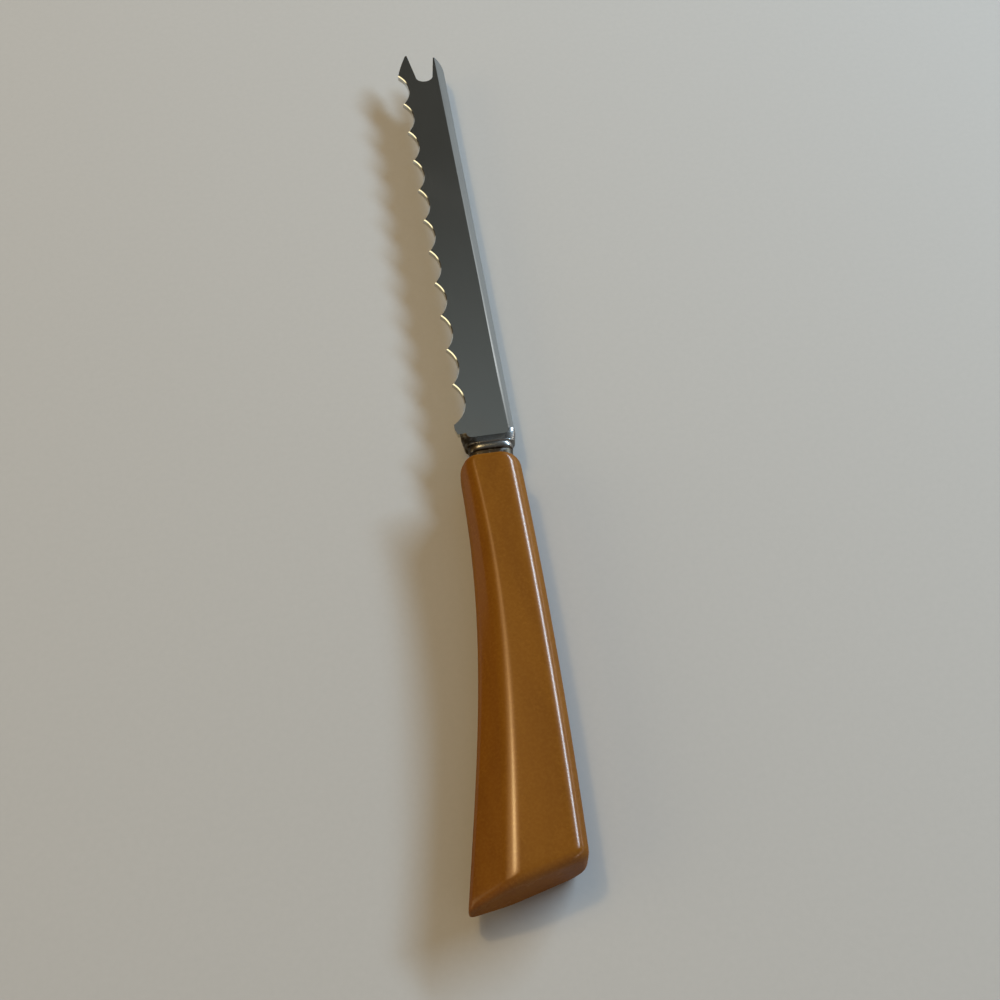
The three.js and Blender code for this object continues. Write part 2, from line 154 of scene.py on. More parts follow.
class BolsterSizes(bpy.types.PropertyGroup):
    seat_length: size("Seat length", "Length of the flange against the handle", 0.9)
    seat_width: size("Seat half width", "Half width against the handle", 4.6)
    seat_thickness: size("Seat half thickness", "Half thickness against the handle", 2.5)
    groove_width: size("Groove half width", "Half width in the groove", 4.5)
    groove_thickness: size("Groove half thickness", "Half thickness in the groove", 2.1)
    ring_length: size("Ring length", "Length of the raised ring", 1.8)
    ring_width: size("Ring half width", "Half width over the ring", 4.75)
    ring_thickness: size("Ring half thickness", "Half thickness over the ring", 2.65)
    flare_length: size("Flare length", "From the ring forward to the plain front", 2.6)
    crest_width: size("Crest half width", "Half width where the flare starts", 5.35)
    crest_thickness: size("Crest half thickness", "Half thickness where the flare starts", 2.7)
    front_width: size("Front half width", "Half width against the blade", 5.85)
    front_wall: size("Front wall", "Steel above and below the blade at the front", 0.3)
    squareness: share("Squareness", "Half is an oval section, and one is square", 0.648)
    edge: size("Edge", "Rounding of the crest's edge", 0.15)
    seam: size("Seam", "Gap round the blade's tongue", 0.06)


class HandleSizes(bpy.types.PropertyGroup):
    length: size("Length", "From the front to the belly end of the butt", 92.6)
    spine_length: size("Spine length", "From the front to the spine end of the butt", 86.8)
    front_spine: size("Front spine", "Spine side of the front, from the centre line", 5.35)
    front_belly: size("Front belly", "Belly side of the front, from the centre line", 7.4)
    butt_spine: size("Butt spine", "Spine side of the butt, from the centre line", 3.85)
    butt_belly: size("Butt belly", "Belly side of the butt, from the centre line", 19.2)
    spine_bow: size("Spine bow", "How far the spine's guide point swells", 1.4)
    front_reach: size("Front reach", "Belly guide point behind the front", 35)
    front_tuck: size("Front tuck", "How far that point tucks in", 0.65)
    butt_reach: size("Butt reach", "Belly guide point ahead of the butt", 30.6)
    butt_flare: size("Butt flare", "How far the belly flares out to the butt", 6.45)
    belly_edge: size("Belly edge", "Thickness of the belly's outer wall", 5.0)
    facet_front: size("Facet at front", "Width of the sloping belly facet", 1.25)
    facet_butt: size("Facet at butt", "Width of the sloping belly facet", 7.8)
    spine_round: size("Spine round", "Rounding along the spine", 3.5)
    ridge_round: size("Ridge round", "How far the rounding reaches each way from the ridge", 1.9)
    belly_round: size("Belly round", "Rounding along the belly wall", 1.1)
    front_edge: size("Front edge", "Rounding round the front", 1.0)
    front_belly_round: size("Front belly corner", "Rounding of that corner in plan", 2.0)
    front_spine_round: size("Front spine corner", "Rounding of that corner in plan", 2.8)
    butt_edge: size("Butt edge", "Rounding round the butt", 2.2)
    butt_spine_round: size("Butt spine corner", "Rounding of that corner in plan", 1.5)
    butt_belly_round: size("Butt belly corner", "Rounding of that corner in plan", 0.9)
    bore: size("Bore", "Radius of the hole for the tang", 3.3)
    bore_shift: size("Bore shift", "Bore from the centre line, to the belly", 0.4)
    bore_room: size("Bore room", "Room behind the end of the tang", 4.0)


class Finishes(bpy.types.PropertyGroup):
    steel: colour("Steel", "Bright ground steel", (0.66, 0.69, 0.68))
    steel_stain: colour("Stained steel", "Handled patches of the steel", (0.54, 0.55, 0.535))
    tarnish: colour("Tarnish", "Dull steel of the bolster", (0.24, 0.24, 0.235))
    tarnish_dark: colour("Dark tarnish", "Stains on that steel", (0.13, 0.125, 0.115))
    # Painted shade and dirt, laid on the bolster's belly side and in its groove
    dirt_and_shade: colour("Dirt", "Old dirt in the groove and on the belly side of the bolster",
                 (0.045, 0.035, 0.025))
    resin: colour("Resin", "Main colour of the resin", (0.185, 0.066, 0.0045))
    resin_dark: colour("Dark resin", "Darker flow lines in the resin", (0.148, 0.049, 0.003))
    resin_pale: colour("Pale resin", "Pale specks in the resin", (0.26, 0.11, 0.014))
    cement: colour("Cement", "Cutler's cement", (0.20, 0.15, 0.10))
    cement_dark: colour("Dark cement", "Grit in the cement", (0.09, 0.065, 0.045))


class StageSettings(bpy.types.PropertyGroup):
    floor: colour("Floor", "Plain pale floor", (0.435, 0.415, 0.395))
    lens: FloatProperty(name="Lens", description="Focal length of the camera", default=54,
                        subtype="DISTANCE_CAMERA", unit="CAMERA")
    distance: size("Distance", "Camera from the point that it looks at", 311.03)
    tilt: angle("Tilt", "Camera from straight overhead", 31.0)
    turn: angle("Turn", "Camera's heading from the blade's direction", 9.07)
    target: size("Target", "Point that the camera looks at, along the knife", 21.8)
    window: watts("Window", "Power of the cool window light", 18.0)
    lamp: watts("Lamp", "Power of the warm lamp's shade", 2.9)
    bulb: watts("Bulb", "Power of the bright bulb in that lamp", 2.4)


class KnifeSettings(bpy.types.PropertyGroup):
    blade: PointerProperty(type=BladeSizes)
    bolster: PointerProperty(type=BolsterSizes)
    handle: PointerProperty(type=HandleSizes)
    finishes: PointerProperty(type=Finishes)
    stage: PointerProperty(type=StageSettings)


# Modelling by hand

def bezier(guides, along):
    """The point a part of the way along the curve that guide points draw."""
    points = [Vector(guide) for guide in guides]
    while len(points) > 1:
        points = [a.lerp(b, along) for a, b in zip(points, points[1:])]
    return points[0]


def curve(guides, steps):
    """Points all along the curve that guide points draw."""
    return [bezier(guides, step / steps) for step in range(steps + 1)]


def arc(centre, across, forward, start, end, steps):
    """Points on an oval round a centre, between two angles."""
    turns = [start + (end - start) * step / steps for step in range(steps + 1)]
    return [Vector((centre[0] + across * math.cos(turn), centre[1] + forward * math.sin(turn)))
            for turn in turns]


def trace(name, points):
    """Draws a closed outline by extruding a corner from point to point, and fills it."""
    bpy.ops.object.select_all(action="DESELECT")
    bpy.ops.mesh.primitive_plane_add(size=MM)
    piece = bpy.context.object
    piece.name = piece.data.name = name
    bpy.ops.object.mode_set(mode="EDIT")
    bpy.ops.mesh.merge(type="CENTER")
    bpy.ops.transform.translate(value=points[0])
    for here, there in zip(points, points[1:]):
        bpy.ops.mesh.extrude_region_move(TRANSFORM_OT_translate={"value": there - here})
    bpy.ops.mesh.select_all(action="SELECT")
    bpy.ops.mesh.edge_face_add()
    return piece


def pick(piece, kind, test):
    """Selects the corners, edges or faces that pass a test, in edit mode."""
    bpy.ops.mesh.select_mode(type=kind)
    bpy.ops.mesh.select_all(action="DESELECT")
    mesh = bmesh.from_edit_mesh(piece.data)
    parts = {"VERT": mesh.verts, "EDGE": mesh.edges, "FACE": mesh.faces}[kind]
    for part in parts:
        if test(part):
            part.select_set(True)
    mesh.select_flush_mode()
    bmesh.update_edit_mesh(piece.data)


def middle(edge):
    """The middle of an edge."""
    return (edge.verts[0].co + edge.verts[1].co) / 2


def runs_along(edge):
    """True for an edge that runs mainly along the knife."""
    run = edge.verts[1].co - edge.verts[0].co
    return abs(run.y) > abs(run.x) + abs(run.z)


def push(offset):
    """Extrudes what is selected by an offset."""
    bpy.ops.mesh.extrude_region_move(TRANSFORM_OT_translate={"value": offset})


def turn_out():
    """Turns every face outwards, in edit mode."""
    bpy.ops.mesh.select_all(action="SELECT")
    bpy.ops.mesh.normals_make_consistent(inside=False)


def cut(piece, cutter):
    """Takes a cutter's shape out of a piece."""
    bpy.context.view_layer.objects.active = piece
    bpy.ops.object.modifier_add(type="BOOLEAN")
    modifier = piece.modifiers[-1]
    modifier.operation = "DIFFERENCE"
    modifier.solver = "EXACT"
    modifier.object = cutter
    bpy.ops.object.modifier_apply(modifier=modifier.name)


def discard(piece):
    """Deletes a helper shape."""
    mesh = piece.data
    bpy.data.objects.remove(piece)
    bpy.data.meshes.remove(mesh)


def close_up():
    """Merges doubles, turns every face outwards and leaves edit mode."""
    bpy.ops.mesh.select_mode(type="VERT")
    bpy.ops.mesh.select_all(action="SELECT")
    bpy.ops.mesh.remove_doubles(threshold=DOUBLE)
    bpy.ops.mesh.normals_make_consistent(inside=False)
    bpy.ops.object.mode_set(mode="OBJECT")


def hand_over(piece, node, finish, sharp):
    """Shades a finished piece, gives it its finish and puts it in its node's place."""
    bpy.ops.object.select_all(action="DESELECT")
    piece.select_set(True)
    bpy.context.view_layer.objects.active = piece
    bpy.ops.object.shade_smooth_by_angle(angle=math.radians(sharp))
    piece.data.materials.clear()
    piece.data.materials.append(finish)
    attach(piece, "root")
    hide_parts(node)


# Blade

# Fineness of the curves
ARC_STEPS = 12
SCALLOP_SIDES = 160
SPINE_STEPS = 5
ARRIS_STEPS = 6
# How far the arris runs out above the flat, so that the cut ends cleanly
ARRIS_LIFT = 0.01 * MM
# Faces with normals at least this upright are level
LEVEL = 0.9999
# Edges that turn by more than this many degrees stay sharp
BLADE_SHARP = 28


def tongue_side(sizes, side, seam):
    """One side of the tongue behind the heel, from its end to the heel, grown by a seam."""
    edge = sizes.tongue_half + seam
    turn = sizes.tongue_round + seam
    end = HEEL - sizes.tongue_length - seam
    corner = arc((side * (edge - turn), end + turn), side * turn, turn, -math.pi / 2, 0, ARC_STEPS)
    return [*corner, Vector((side * edge, HEEL))]


def blade_outline(sizes, tooth_start, last_scallop):
    """The stamping before its teeth are ground, from the tang round by the spine and the fork."""
    edge = SPINE - sizes.width
    heel = edge - sizes.heel_drop
    side = sizes.tang_width / 2
    point = sizes.tang_point / 2
    long_tip = edge + sizes.long_prong_inset
    short_tip = SPINE - sizes.short_prong_inset
    short_end = TIP - sizes.prong_step
    shoulder = short_end - sizes.short_prong
    notch = ((long_tip + short_tip) / 2 + sizes.notch_shift,
             TIP - sizes.notch_depth + sizes.notch_round)
    tongue_end = HEEL - sizes.tongue_length
    tang = [(-side, tongue_end), (-side, TANG_END + sizes.tang_taper), (-point, TANG_END),
            (point, TANG_END), (side, TANG_END + sizes.tang_taper), (side, tongue_end)]
    short_side = [(SPINE, shoulder - sizes.short_shoulder), (SPINE, shoulder),
                  (short_tip + sizes.prong_point, short_end)]
    long_side = [(long_tip - sizes.prong_point, TIP),
                 ((edge + long_tip) / 2 - sizes.prong_bulge, (TIP + tooth_start) / 2),
                 (edge, tooth_start)]
    heel_end = [(edge, last_scallop), (heel, last_scallop),
                (heel, HEEL + sizes.heel_chamfer_length),
                (heel + sizes.heel_chamfer_depth, HEEL)]
    return [
        *tang,
        *tongue_side(sizes, 1, 0),
        (SPINE, HEEL),
        *curve(short_side, ARC_STEPS),
        (short_tip, short_end),
        *arc(notch, sizes.notch_half, sizes.notch_round, 0, -math.pi, 2 * ARC_STEPS),
        (long_tip, TIP),
        *curve(long_side, ARC_STEPS),
        *heel_end,
        *reversed(tongue_side(sizes, -1, 0)),
    ]


def bevel_spine(sizes, face):
    """Cuts the sloping band along the spine on one face, wider and crisper towards the tip."""
    surface = MID + face * BLADE_THICKNESS / 2
    flare = TIP - sizes.flare_length
    heel_band, tip_band = sizes.spine_bevel_heel, sizes.spine_bevel_tip
    for step in range(1, SPINE_STEPS + 1):
        turn = step / SPINE_STEPS
        back = (sizes.spine_soft * (1 - turn), sizes.spine_soft_tip * (1 - turn))
        share_heel = turn * heel_band / (turn * heel_band + 2 * back[0])
        share_tip = turn * tip_band / (turn * tip_band + 2 * back[1])
        low = Vector((SPINE - heel_band - back[0], flare, surface))
        high = Vector((SPINE - tip_band - back[1], TIP, surface))
        heel_slope = Vector((heel_band, 0, -face * sizes.spine_drop_heel * share_heel))
        tip_slope = Vector((tip_band, 0, -face * sizes.spine_drop_tip * share_tip))
        for normal in (heel_slope.cross(Vector((0, 1, 0))), tip_slope.cross(high - low)):
            outward = normal if normal.z * face > 0 else -normal
            bpy.ops.mesh.select_all(action="SELECT")
            bpy.ops.mesh.bisect(plane_co=low, plane_no=outward.normalized(), use_fill=True,
                                clear_outer=True, threshold=DOUBLE)


def scallop_profile(sizes):
    """The wheel's reach past the cutting edge and its height: edge, grind, bevel and arris."""
    grind_top = BLADE_BOTTOM + sizes.edge_land + sizes.grind_height
    slope = math.atan2(BLADE_TOP - grind_top, sizes.edge_bevel)
    start = sizes.grind_width + sizes.edge_bevel + sizes.arris * math.tan(slope / 2)
    profile = [(0, BLADE_BOTTOM - sizes.edge_land), (0, BLADE_BOTTOM + sizes.edge_land),
               (sizes.grind_width, grind_top)]
    for step in range(ARRIS_STEPS + 1):
        turn = slope * (1 - step / ARRIS_STEPS)
        lift = ARRIS_LIFT * step / ARRIS_STEPS
        profile.append((start - sizes.arris * math.sin(turn),
                        BLADE_TOP - sizes.arris * (1 - math.cos(turn)) + lift))
    profile.append((start, BLADE_TOP + sizes.edge_land))
    return profile


def scallop_cutter(sizes, pitch):
    """A grinding wheel whose rim has the scallop's profile."""
    half, depth = pitch / 2, sizes.tooth_depth
    radius = (half * half + depth * depth) / (2 * depth)
    centre = SPINE - sizes.width + depth - radius
    profile = scallop_profile(sizes)
    bpy.ops.object.select_all(action="DESELECT")
    bpy.ops.mesh.primitive_circle_add(vertices=SCALLOP_SIDES, radius=radius, fill_type="NGON",
                                      location=(centre, 0, profile[0][1]))
    wheel = bpy.context.object
    bpy.ops.object.mode_set(mode="EDIT")
    bpy.ops.mesh.select_all(action="SELECT")
    for before, after in zip(profile, profile[1:]):
        push((0, 0, after[1] - before[1]))
        swell = (radius + after[0]) / (radius + before[0])
        bpy.ops.transform.resize(value=(swell, swell, 1), center_override=(centre, 0, after[1]))
    turn_out()
    bpy.ops.object.mode_set(mode="OBJECT")
    return wheel


def make_blade(settings):
    """Stamps the blade, slopes its spine, grinds its scallops and keeps its flats crisp."""
    sizes = settings.blade
    tooth_start = TIP - sizes.tip_length
    pitch = (tooth_start - HEEL - sizes.heel_land) / sizes.teeth
    scallops = [tooth_start - (tooth + 0.5) * pitch for tooth in range(sizes.teeth)]
    outline = blade_outline(sizes, tooth_start, scallops[-1])
    blade = trace("steel_blade", [Vector((x, y, BLADE_BOTTOM)) for x, y in outline])
    push((0, 0, BLADE_THICKNESS))
    turn_out()
    for face in (1, -1):
        bevel_spine(sizes, face)
    close_up()
    wheel = scallop_cutter(sizes, pitch)
    for scallop in scallops:
        wheel.location.y = scallop
        cut(blade, wheel)
    discard(wheel)
    bpy.ops.object.mode_set(mode="EDIT")
    pick(blade, "EDGE",
         lambda edge: any(abs(face.normal.z) > LEVEL for face in edge.link_faces))
    bpy.ops.mesh.mark_sharp()
    close_up()
    hand_over(blade, "blade", blade_steel(settings.finishes), BLADE_SHARP)


# Bolster

# Fineness of the curves
SECTION_SEGMENTS = 12
BEAD_STEPS = 12
CREST_SEGMENTS = 3
# How far round the ring's section goes
BEAD_TURN = math.radians(128)
# Edges that turn by more than this many degrees stay sharp
BOLSTER_SHARP = 40


def bead(back, length, low, high):
    """Steps up over a rounded ring and a little down: place along the knife and half sizes."""
    reach = length / (1 - math.cos(BEAD_TURN))
    steps = []
    for step in range(BEAD_STEPS + 1):
        turn = BEAD_TURN * step / BEAD_STEPS
        along = back + reach * (1 - math.cos(turn))
        steps.append((along, *(a + (b - a) * math.sin(turn) for a, b in zip(low, high))))
    return steps


def crest_place(settings):
    """Where the flare starts, along the knife."""
    return HEEL - settings.blade.tongue_length - settings.bolster.flare_length


def bolster_steps(settings):
    """Steps from the handle to the blade: place along the knife, half width and half thickness."""
    sizes = settings.bolster
    crest = crest_place(settings)
    seat_back = HANDLE_FRONT - SEAT_GAP
    seat_front = HANDLE_FRONT + SEAT_GAP + sizes.seat_length
    seat = (sizes.seat_width, sizes.seat_thickness)
    groove = (sizes.groove_width, sizes.groove_thickness)
    ring = (sizes.ring_width, sizes.ring_thickness)
    ring_back = crest - sizes.ring_length
    front = (sizes.front_width, BLADE_THICKNESS / 2 + sizes.front_wall)
    return [
        (seat_back, *seat),
        (seat_front, *seat),
        (seat_front + sizes.edge, *groove),
        *bead(ring_back, sizes.ring_length - sizes.edge, groove, ring),
        (crest, sizes.crest_width, sizes.crest_thickness),
        (HEEL - settings.blade.tongue_length, *front),
        (HEEL, *front),
    ]


def cut_pocket(bolster, settings):
    """Cuts the pocket for the blade's tongue, with a seam all round it."""
    right, left = (tongue_side(settings.blade, side, settings.bolster.seam) for side in (1, -1))
    ahead = Vector((0, settings.blade.tongue_length))
    rim = [*right, right[-1] + ahead, left[-1] + ahead, *reversed(left)]
    pocket = trace("pocket", [Vector((*place, HANDLE_LOW.z)) for place in rim])
    push((0, 0, HANDLE_THICKNESS))
    close_up()
    cut(bolster, pocket)
    discard(pocket)


def cut_slot(bolster, settings):
    """Cuts the slot that the tang passes through."""
    bpy.ops.object.select_all(action="DESELECT")
    bpy.ops.mesh.primitive_cube_add(
        size=1, location=(0, HANDLE_FRONT, MID),
        scale=(settings.blade.tang_width, HEEL - TANG_END, BLADE_THICKNESS))
    slot = bpy.context.object
    cut(bolster, slot)
    discard(slot)


def make_bolster(settings):
    """Draws out the collar step by step, and cuts the tongue's pocket and the tang's slot."""
    sizes = settings.bolster
    steps = bolster_steps(settings)
    along, width, thickness = steps[0]
    corners = [(-width, -thickness), (width, -thickness), (width, thickness), (-width, thickness)]
    bolster = trace("steel_bolster", [Vector((x, along, MID + z)) for x, z in corners])
    bpy.ops.transform.resize(value=(1, 1, width / thickness), center_override=(0, along, MID))
    bpy.ops.mesh.bevel(offset=width, segments=SECTION_SEGMENTS, profile=sizes.squareness,
                       affect="VERTICES", clamp_overlap=True)
    bpy.ops.mesh.remove_doubles(threshold=DOUBLE)
    bpy.ops.transform.resize(value=(1, 1, thickness / width), center_override=(0, along, MID))
    for before, after in zip(steps, steps[1:]):
        push((0, after[0] - before[0], 0))
        bpy.ops.transform.resize(value=(after[1] / before[1], 1, after[2] / before[2]),
                                 center_override=(0, after[0], MID))
    crest = crest_place(settings)
    pick(bolster, "EDGE",
         lambda edge: all(abs(corner.co.y - crest) < NEAR for corner in edge.verts))
    bpy.ops.mesh.bevel(offset=sizes.edge, segments=CREST_SEGMENTS, profile=ROUND, affect="EDGES")
    close_up()
    cut_pocket(bolster, settings)
    cut_slot(bolster, settings)
    hand_over(bolster, "bolster", bolster_steel(settings), BOLSTER_SHARP)


# Handle

# Fineness of the curves
BODY_STEPS = 26
FRONT_STEPS = 8
BUTT_STEPS = 7
BELLY_SEGMENTS = 4
ROUND_SEGMENTS = 8
SMOOTH_LEVELS = 2
BORE_SIDES = 48
HEADING_STEP = 0.001
HALVINGS = 40
# Edges further to the belly side than this belong to the belly
BELLY_SIDE = -2 * MM
# A cap faces its end at least this much, and has more corners than the drawn section
FACING = 0.8
SECTION_CORNERS = 6
# Inset of a cap, as a share of the rounding at its rim
CAP_INSET = 0.4
# Edges that turn by more than this many degrees stay sharp
HANDLE_SHARP = 50


def halve(low, high, before):
    """The place between two where a test stops being true."""
    for _ in range(HALVINGS):
        half = (low + high) / 2
        if before(half):
            low = half
        else:
            high = half
    return (low + high) / 2


def at_height(rail, y):
    """How far along a rail it passes a place along the knife."""
    return halve(0, 1, lambda along: bezier(rail, along).y > y)


def handle_rails(sizes):
    """Guide points of the belly and the spine, seen from above."""
    belly = [
        Vector((-sizes.front_belly, HANDLE_FRONT)),
        Vector((sizes.front_tuck - sizes.front_belly, HANDLE_FRONT - sizes.front_reach)),
        Vector((sizes.butt_flare - sizes.butt_belly,
                HANDLE_FRONT - sizes.length + sizes.butt_reach)),
        Vector((-sizes.butt_belly, HANDLE_FRONT - sizes.length)),
    ]
    front = Vector((sizes.front_spine, HANDLE_FRONT))
    butt = Vector((sizes.butt_spine, HANDLE_FRONT - sizes.spine_length))
    spine = [front, front.lerp(butt, 0.5) + Vector((sizes.spine_bow, 0)), butt]
    return belly, spine


def ridge_point(sizes, belly, along):
    """Where the belly facet meets the flat, beside a point of the belly."""
    here = bezier(belly, along)
    heading = bezier(belly, along + HEADING_STEP) - bezier(belly, along - HEADING_STEP)
    heading.normalize()
    back = (HANDLE_FRONT - here.y) / sizes.length
    facet = sizes.facet_front + (sizes.facet_butt - sizes.facet_front) * back
    return here + Vector((-heading.y, heading.x)) * facet


def ridge_end(sizes, belly, start, end):
    """How far along the belly the ridge reaches a line across the handle."""
    across = end - start
    return halve(0.5, 1,
                 lambda along: across.cross(ridge_point(sizes, belly, along) - start) > 0)


def quarter(radius, left):
    """How far a rounded corner draws in with some of its length left to run."""
    run = max(0.0, radius - left)
    return radius - math.sqrt(max(0.0, radius * radius - run * run))


def run_out(radius, step, steps):
    """The length left to run at one step of a rounded corner, close together at its end."""
    return radius * (1 - math.sin(math.pi / 2 * step / steps))


def stretch_body(piece, stations):
    """Extrudes the six-sided section back along the rails, corner pair by corner pair."""
    for station in stations:
        push((0, 0, 0))
        mesh = bmesh.from_edit_mesh(piece.data)
        cap = next(face for face in mesh.faces if face.select)
        corners = sorted(cap.verts, key=lambda corner: corner.co.x)
        for rail, target in enumerate(station):
            pair = corners[2 * rail:2 * rail + 2]
            shift = target - pair[0].co.xy
            bpy.ops.mesh.select_all(action="DESELECT")
            for corner in pair:
                corner.select_set(True)
            mesh.select_flush_mode()
            bpy.ops.transform.translate(value=(shift.x, shift.y, 0))
        bpy.ops.mesh.select_all(action="DESELECT")
        cap.select_set(True)
        bmesh.update_edit_mesh(piece.data)


def soften_edges(piece, width, segments, test):
    """Rounds the long edges that pass a test."""
    pick(piece, "EDGE", lambda edge: runs_along(edge) and test(middle(edge)))
    bpy.ops.mesh.bevel(offset=width, segments=segments, profile=ROUND, affect="EDGES")


def pick_cap(piece, end):
    """Selects the cap at one end of the body: 1 is the front and -1 the butt."""
    pick(piece, "FACE",
         lambda face: face.normal.y * end > FACING and len(face.verts) > SECTION_CORNERS)


def round_front(piece, sizes, start):
    """Draws the front in to its rounded corners and edge."""
    pick_cap(piece, 1)
    reach = HANDLE_FRONT - start
    left, thick = reach, HANDLE_THICKNESS / 2
    mesh = bmesh.from_edit_mesh(piece.data)
    xs = [corner.co.x for corner in mesh.verts if corner.select]
    belly, spine = wide_belly, wide_spine = min(xs), max(xs)
    for step in range(1, FRONT_STEPS + 1):
        now = run_out(reach, step, FRONT_STEPS)
        new_belly = wide_belly + quarter(sizes.front_belly_round, now)
        new_spine = wide_spine - quarter(sizes.front_spine_round, now)
        new_thick = HANDLE_THICKNESS / 2 - quarter(sizes.front_edge, now)
        push((0, left - now, 0))
        ratio = (new_spine - new_belly) / (spine - belly)
        fixed = (new_belly - ratio * belly) / (1 - ratio)
        bpy.ops.transform.resize(value=(ratio, 1, new_thick / thick),
                                 center_override=(fixed, HANDLE_FRONT - now, MID))
        left, belly, spine, thick = now, new_belly, new_spine, new_thick
    bpy.ops.mesh.inset(thickness=CAP_INSET * sizes.front_edge)


def round_butt(piece, sizes, belly_end, spine_end, belly_run, spine_run):
    """Draws the slanted butt in to its rounded corners and edge."""
    pick_cap(piece, -1)
    reach = sizes.butt_edge
    across = (spine_end - belly_end).normalized()
    ends = (belly_end + belly_run * reach, spine_end + spine_run * reach)
    thick = HANDLE_THICKNESS / 2
    for step in range(1, BUTT_STEPS + 1):
        now = run_out(reach, step, BUTT_STEPS)
        belly = belly_end + belly_run * now + across * quarter(sizes.butt_belly_round, now)
        spine = spine_end + spine_run * now - across * quarter(sizes.butt_spine_round, now)
        new_thick = HANDLE_THICKNESS / 2 - quarter(sizes.butt_edge, now)
        before, after = (ends[0] + ends[1]) / 2, (belly + spine) / 2
        push((*(after - before), 0))
        ratio = (spine - belly).length / (ends[1] - ends[0]).length
        bpy.ops.transform.resize(value=(ratio, ratio, new_thick / thick),
                                 center_override=(*after, MID))
        ends, thick = (belly, spine), new_thick
    bpy.ops.mesh.inset(thickness=CAP_INSET * sizes.butt_edge)


def drill_bore(handle, sizes):
    """Bores the blind hole for the tang from the front."""
    end = TANG_END - sizes.bore_room
    length = HANDLE_FRONT + sizes.bore - end
    bpy.ops.object.select_all(action="DESELECT")
    bpy.ops.mesh.primitive_cylinder_add(
        vertices=BORE_SIDES, radius=sizes.bore, depth=length, rotation=(math.pi / 2, 0, 0),
        location=(-sizes.bore_shift, end + length / 2, MID))
    drill = bpy.context.object
    cut(handle, drill)
    discard(drill)


def make_handle(settings):
    """Draws the body back along its rails, rounds it, smooths it and bores it for the tang."""
    sizes = settings.handle
    belly, spine = handle_rails(sizes)
    start = HANDLE_FRONT - sizes.front_spine_round
    reach = sizes.butt_edge
    belly_run = (belly[2] - belly[3]).normalized()
    spine_run = (spine[1] - spine[2]).normalized()
    belly_stop = belly[3] + belly_run * reach
    spine_stop = spine[2] + spine_run * reach
    belly_shares = (at_height(belly, start), at_height(belly, belly_stop.y))
    ridge_shares = (belly_shares[0], ridge_end(sizes, belly, belly_stop, spine_stop))
    spine_shares = (at_height(spine, start), at_height(spine, spine_stop.y))

    def station(step):
        """The points of the belly, the ridge and the spine at one step along the body."""
        part = step / BODY_STEPS
        on_belly, on_ridge, on_spine = (
            low + (high - low) * part for low, high in (belly_shares, ridge_shares, spine_shares))
        return bezier(belly, on_belly), ridge_point(sizes, belly, on_ridge), bezier(spine, on_spine)

    top, wall = HANDLE_THICKNESS / 2, sizes.belly_edge / 2
    low_belly, low_ridge, low_spine = station(0)
    ring = [(low_belly, -wall), (low_ridge, -top), (low_spine, -top),
            (low_spine, top), (low_ridge, top), (low_belly, wall)]
    handle = trace("resin_handle", [Vector((*place, MID + height)) for place, height in ring])
    stretch_body(handle, [station(step) for step in range(1, BODY_STEPS + 1)])
    turn_out()
    shoulder = (top + wall) / 2
    soften_edges(handle, sizes.belly_round, BELLY_SEGMENTS,
                 lambda place: place.x < BELLY_SIDE and abs(place.z - MID) < shoulder)
    soften_edges(handle, sizes.spine_round, ROUND_SEGMENTS,
                 lambda place: place.x > 0 and abs(place.z - MID) > top - NEAR)
    soften_edges(handle, sizes.ridge_round, ROUND_SEGMENTS,
                 lambda place: place.x < BELLY_SIDE and abs(place.z - MID) > top - NEAR)
    round_front(handle, sizes, start)
    round_butt(handle, sizes, belly[3], spine[2], belly_run, spine_run)
    close_up()
    bpy.ops.object.modifier_add(type="SUBSURF")
    smooth = handle.modifiers[-1]
    smooth.levels = smooth.render_levels = SMOOTH_LEVELS
    bpy.ops.object.modifier_apply(modifier=smooth.name)
    drill_bore(handle, sizes)
    hand_over(handle, "handle", handle_resin(settings.finishes), HANDLE_SHARP)


# Finishes

# Places of the colour sockets of a mix node
MIX_FACTOR, MIX_FIRST, MIX_SECOND, MIX_RESULT = 0, 6, 7, 2


class Wire:
    """One output of a node, which can be used in sums like a number."""

    def __init__(self, nodes, socket):
        self.nodes = nodes
        self.socket = socket

    def sum(self, operation, first, second):
        return self.nodes.add("ShaderNodeMath", {"operation": operation}, {0: first, 1: second})

    def __add__(self, other):
        return self.sum("ADD", self, other)

    __radd__ = __add__

    def __sub__(self, other):
        return self.sum("SUBTRACT", self, other)

    def __rsub__(self, other):
        return self.sum("SUBTRACT", other, self)

    def __mul__(self, other):
        return self.sum("MULTIPLY", self, other)

    __rmul__ = __mul__


